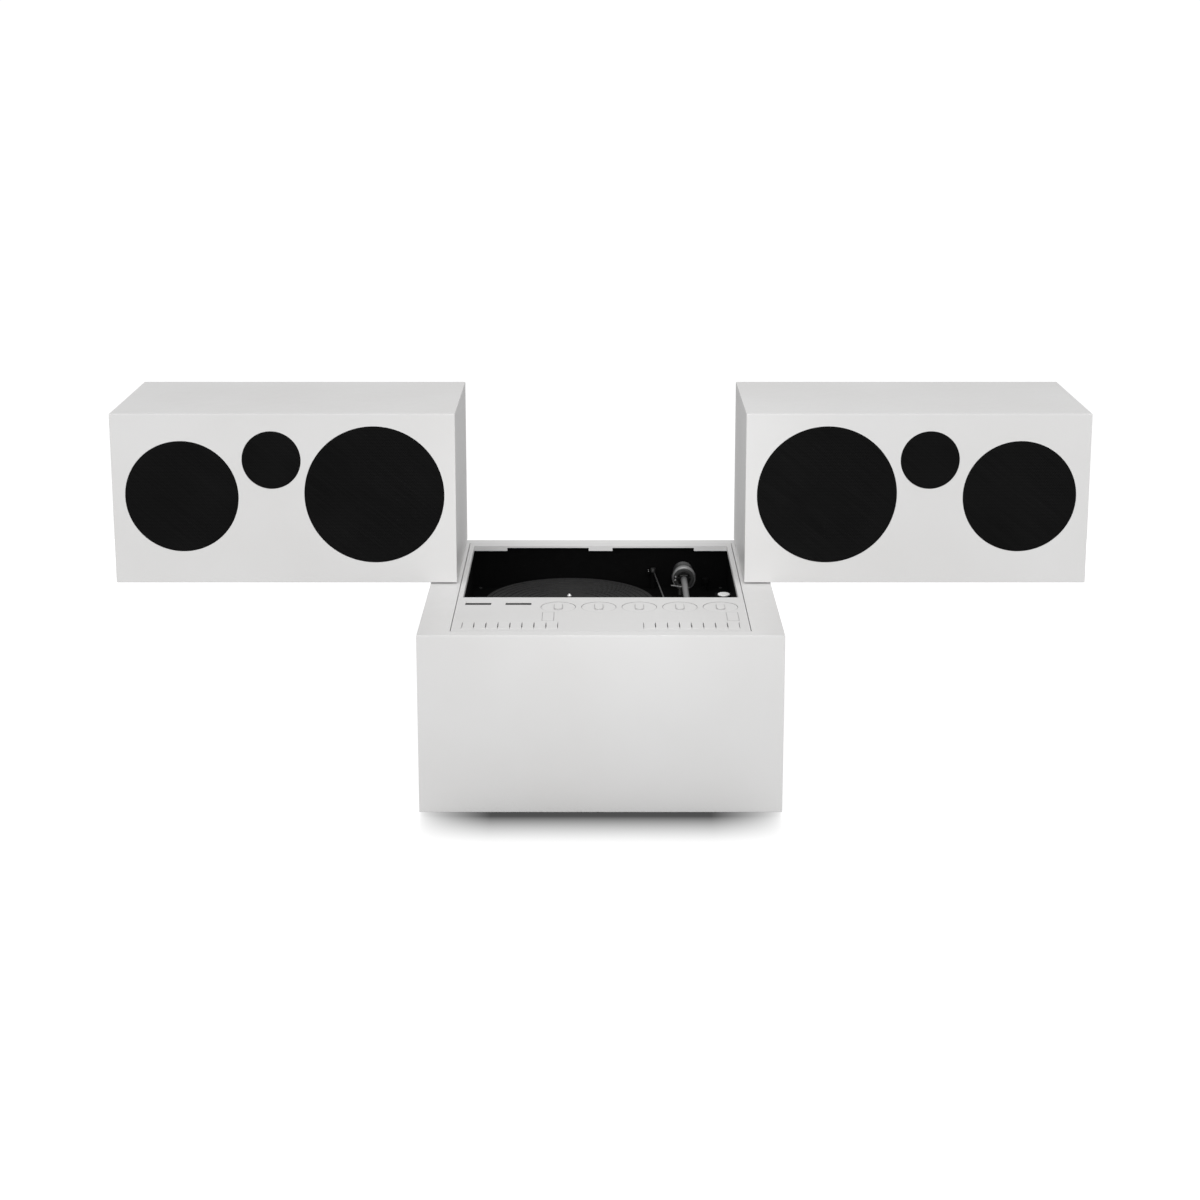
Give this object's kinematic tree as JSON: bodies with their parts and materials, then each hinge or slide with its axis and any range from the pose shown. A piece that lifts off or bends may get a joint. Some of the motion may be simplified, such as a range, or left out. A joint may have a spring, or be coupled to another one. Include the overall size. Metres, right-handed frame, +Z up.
{
  "type": "stereo system",
  "caption": "White cube stereo system: amplifier base with record player in a well, and loudspeaker boxes that swing out on rear corner pivots.",
  "frame": {"origin": "on the floor, under the middle of the base cabinet", "axes": "+X to the viewer's right, along the open loudspeakers; +Y to the back; +Z up"},
  "size_m": [1.45, 0.51, 0.525],
  "materials": {
    "white_lacquer": "satin white lacquer",
    "white_panel": "satin white moulding",
    "white_key": "satin white moulding",
    "dark_board": "matt black stain",
    "black_well": "matt black moulding",
    "smoked_window": "gloss, dark smoked",
    "rubber_black": "matt",
    "mat_rubber": "matt",
    "belt_rubber": "ground",
    "steel": "turned",
    "motor_case": "satin",
    "platter_metal": "satin, dark anodised",
    "arm_metal": "satin",
    "arm_dark": "satin black",
    "arm_weight": "satin, dark anodised",
    "bright_steel": "bright",
    "button_white": "gloss",
    "electronics": "plated and painted",
    "grille_black": "matt black, finely pierced",
    "driver_dark": "matt black",
    "crossover_board": "matt board with parts"
  },
  "bodies": {
    "base": {"base_cabinet": "white_lacquer", "base_bottom_panel": "dark_board", "rubber_feet": "rubber_black", "top_panel": "white_panel", "turntable_tub": "black_well", "meter_windows": "smoked_window", "pivot_bearings": "steel", "drive_motor": "motor_case", "drive_belt": "belt_rubber", "tonearm_base": "arm_dark", "amplifier_chassis": "electronics"},
    "platter_body": {"platter": "platter_metal", "platter_mat": "mat_rubber"},
    "pulley": {"motor_pulley": "steel"},
    "arm_yoke": {"tonearm_yoke": "arm_metal"},
    "arm": {"tonearm_tube": "arm_metal", "headshell": "arm_metal"},
    "weight": {"counterweight": "arm_weight"},
    "lift": {"lift_bar": "bright_steel"},
    "cue": {"cue_lever": "bright_steel"},
    "start": {"start_button": "button_white"},
    "left_key_1_body": {"left_key_1": "white_key"},
    "left_key_2_body": {"left_key_2": "white_key"},
    "left_key_3_body": {"left_key_3": "white_key"},
    "left_key_4_body": {"left_key_4": "white_key"},
    "left_key_5_body": {"left_key_5": "white_key"},
    "left_key_6_body": {"left_key_6": "white_key"},
    "left_key_7_body": {"left_key_7": "white_key"},
    "left_key_8_body": {"left_key_8": "white_key"},
    "left_wide_key_body": {"left_wide_key": "white_key"},
    "right_key_1_body": {"right_key_1": "white_key"},
    "right_key_2_body": {"right_key_2": "white_key"},
    "right_key_3_body": {"right_key_3": "white_key"},
    "right_key_4_body": {"right_key_4": "white_key"},
    "right_key_5_body": {"right_key_5": "white_key"},
    "right_key_6_body": {"right_key_6": "white_key"},
    "right_key_7_body": {"right_key_7": "white_key"},
    "right_key_8_body": {"right_key_8": "white_key"},
    "right_wide_key_body": {"right_wide_key": "white_key"},
    "knob_1_body": {"knob_1": "white_key"},
    "knob_2_body": {"knob_2": "white_key"},
    "knob_3_body": {"knob_3": "white_key"},
    "knob_4_body": {"knob_4": "white_key"},
    "knob_5_body": {"knob_5": "white_key"},
    "left_speaker": {"left_speaker_cabinet": "white_lacquer", "left_speaker_back_panel": "white_lacquer", "left_speaker_grilles": "grille_black", "left_speaker_woofer": "driver_dark", "left_speaker_midrange": "driver_dark", "left_speaker_tweeter": "driver_dark", "left_speaker_crossover": "crossover_board", "left_speaker_pivot_shaft": "steel"},
    "right_speaker": {"right_speaker_cabinet": "white_lacquer", "right_speaker_back_panel": "white_lacquer", "right_speaker_grilles": "grille_black", "right_speaker_woofer": "driver_dark", "right_speaker_midrange": "driver_dark", "right_speaker_tweeter": "driver_dark", "right_speaker_crossover": "crossover_board", "right_speaker_pivot_shaft": "steel"}
  },
  "joints": [
    {"name": "left_speaker_swing", "type": "hinge", "parent": "base", "child": "left_speaker", "pos_m": [-0.235, 0.235, 0.265], "axis": [0, 0, 1], "range_deg": [0, 90]},
    {"name": "right_speaker_swing", "type": "hinge", "parent": "base", "child": "right_speaker", "pos_m": [0.235, 0.235, 0.265], "axis": [0, 0, -1], "range_deg": [0, 90]},
    {"name": "platter_spin", "type": "hinge", "parent": "base", "child": "platter_body", "pos_m": [-0.048, 0.073, 0.199], "axis": [0, 0, 1], "continuous": true},
    {"name": "pulley_spin", "type": "hinge", "parent": "base", "child": "pulley", "pos_m": [-0.11942, 0.00158, 0.199], "axis": [0, 0, 1], "continuous": true},
    {"name": "arm_swing", "type": "hinge", "parent": "base", "child": "arm_yoke", "pos_m": [0.13, 0.136, 0.2355], "axis": [0, 0, -1], "range_deg": [0, 54]},
    {"name": "arm_lift", "type": "hinge", "parent": "arm_yoke", "child": "arm", "pos_m": [0.13, 0.136, 0.2355], "axis": [-1, 0, 0], "range_deg": [0, 8]},
    {"name": "weight_slide", "type": "slide", "parent": "arm", "child": "weight", "axis": [0, 1, 0], "range_m": [-0.003, 0.008]},
    {"name": "cue_swing", "type": "hinge", "parent": "base", "child": "cue", "pos_m": [0.084, 0.219, 0.225], "axis": [0, 0, -1], "range_deg": [0, 8]},
    {"name": "lift_slide", "type": "slide", "parent": "base", "child": "lift", "axis": [0, 0, 1], "range_m": [0, 0.002]},
    {"name": "start_press", "type": "slide", "parent": "base", "child": "start", "axis": [0, 0, -1], "range_m": [0, 0.002], "stiffness_N_per_m": 400},
    {"name": "knob_1_turn", "type": "hinge", "parent": "base", "child": "knob_1_body", "pos_m": [-0.0612, -0.1177, 0.262], "axis": [0, 0, -1], "range_deg": [-140, 140]},
    {"name": "knob_2_turn", "type": "hinge", "parent": "base", "child": "knob_2_body", "pos_m": [-0.0027, -0.1177, 0.262], "axis": [0, 0, -1], "range_deg": [-140, 140]},
    {"name": "knob_3_turn", "type": "hinge", "parent": "base", "child": "knob_3_body", "pos_m": [0.0558, -0.1177, 0.262], "axis": [0, 0, -1], "range_deg": [-140, 140]},
    {"name": "knob_4_turn", "type": "hinge", "parent": "base", "child": "knob_4_body", "pos_m": [0.1143, -0.1177, 0.262], "axis": [0, 0, -1], "range_deg": [-140, 140]},
    {"name": "knob_5_turn", "type": "hinge", "parent": "base", "child": "knob_5_body", "pos_m": [0.1728, -0.1177, 0.262], "axis": [0, 0, -1], "range_deg": [-140, 140]},
    {"name": "left_key_1_press", "type": "slide", "parent": "base", "child": "left_key_1_body", "axis": [0, 0, -1], "range_m": [0, 0.003], "stiffness_N_per_m": 400},
    {"name": "left_key_2_press", "type": "slide", "parent": "base", "child": "left_key_2_body", "axis": [0, 0, -1], "range_m": [0, 0.003], "stiffness_N_per_m": 400},
    {"name": "left_key_3_press", "type": "slide", "parent": "base", "child": "left_key_3_body", "axis": [0, 0, -1], "range_m": [0, 0.003], "stiffness_N_per_m": 400},
    {"name": "left_key_4_press", "type": "slide", "parent": "base", "child": "left_key_4_body", "axis": [0, 0, -1], "range_m": [0, 0.003], "stiffness_N_per_m": 400},
    {"name": "left_key_5_press", "type": "slide", "parent": "base", "child": "left_key_5_body", "axis": [0, 0, -1], "range_m": [0, 0.003], "stiffness_N_per_m": 400},
    {"name": "left_key_6_press", "type": "slide", "parent": "base", "child": "left_key_6_body", "axis": [0, 0, -1], "range_m": [0, 0.003], "stiffness_N_per_m": 400},
    {"name": "left_key_7_press", "type": "slide", "parent": "base", "child": "left_key_7_body", "axis": [0, 0, -1], "range_m": [0, 0.003], "stiffness_N_per_m": 400},
    {"name": "left_key_8_press", "type": "slide", "parent": "base", "child": "left_key_8_body", "axis": [0, 0, -1], "range_m": [0, 0.003], "stiffness_N_per_m": 400},
    {"name": "left_wide_key_press", "type": "slide", "parent": "base", "child": "left_wide_key_body", "axis": [0, 0, -1], "range_m": [0, 0.003], "stiffness_N_per_m": 400},
    {"name": "right_key_1_press", "type": "slide", "parent": "base", "child": "right_key_1_body", "axis": [0, 0, -1], "range_m": [0, 0.003], "stiffness_N_per_m": 400},
    {"name": "right_key_2_press", "type": "slide", "parent": "base", "child": "right_key_2_body", "axis": [0, 0, -1], "range_m": [0, 0.003], "stiffness_N_per_m": 400},
    {"name": "right_key_3_press", "type": "slide", "parent": "base", "child": "right_key_3_body", "axis": [0, 0, -1], "range_m": [0, 0.003], "stiffness_N_per_m": 400},
    {"name": "right_key_4_press", "type": "slide", "parent": "base", "child": "right_key_4_body", "axis": [0, 0, -1], "range_m": [0, 0.003], "stiffness_N_per_m": 400},
    {"name": "right_key_5_press", "type": "slide", "parent": "base", "child": "right_key_5_body", "axis": [0, 0, -1], "range_m": [0, 0.003], "stiffness_N_per_m": 400},
    {"name": "right_key_6_press", "type": "slide", "parent": "base", "child": "right_key_6_body", "axis": [0, 0, -1], "range_m": [0, 0.003], "stiffness_N_per_m": 400},
    {"name": "right_key_7_press", "type": "slide", "parent": "base", "child": "right_key_7_body", "axis": [0, 0, -1], "range_m": [0, 0.003], "stiffness_N_per_m": 400},
    {"name": "right_key_8_press", "type": "slide", "parent": "base", "child": "right_key_8_body", "axis": [0, 0, -1], "range_m": [0, 0.003], "stiffness_N_per_m": 400},
    {"name": "right_wide_key_press", "type": "slide", "parent": "base", "child": "right_wide_key_body", "axis": [0, 0, -1], "range_m": [0, 0.003], "stiffness_N_per_m": 400}
  ],
  "couplings": [
    {"joint": "pulley_spin", "follows": "platter_spin", "ratio": 9},
    {"joint": "lift_slide", "follows": "cue_swing", "m_per_rad": 0.0143}
  ]
}
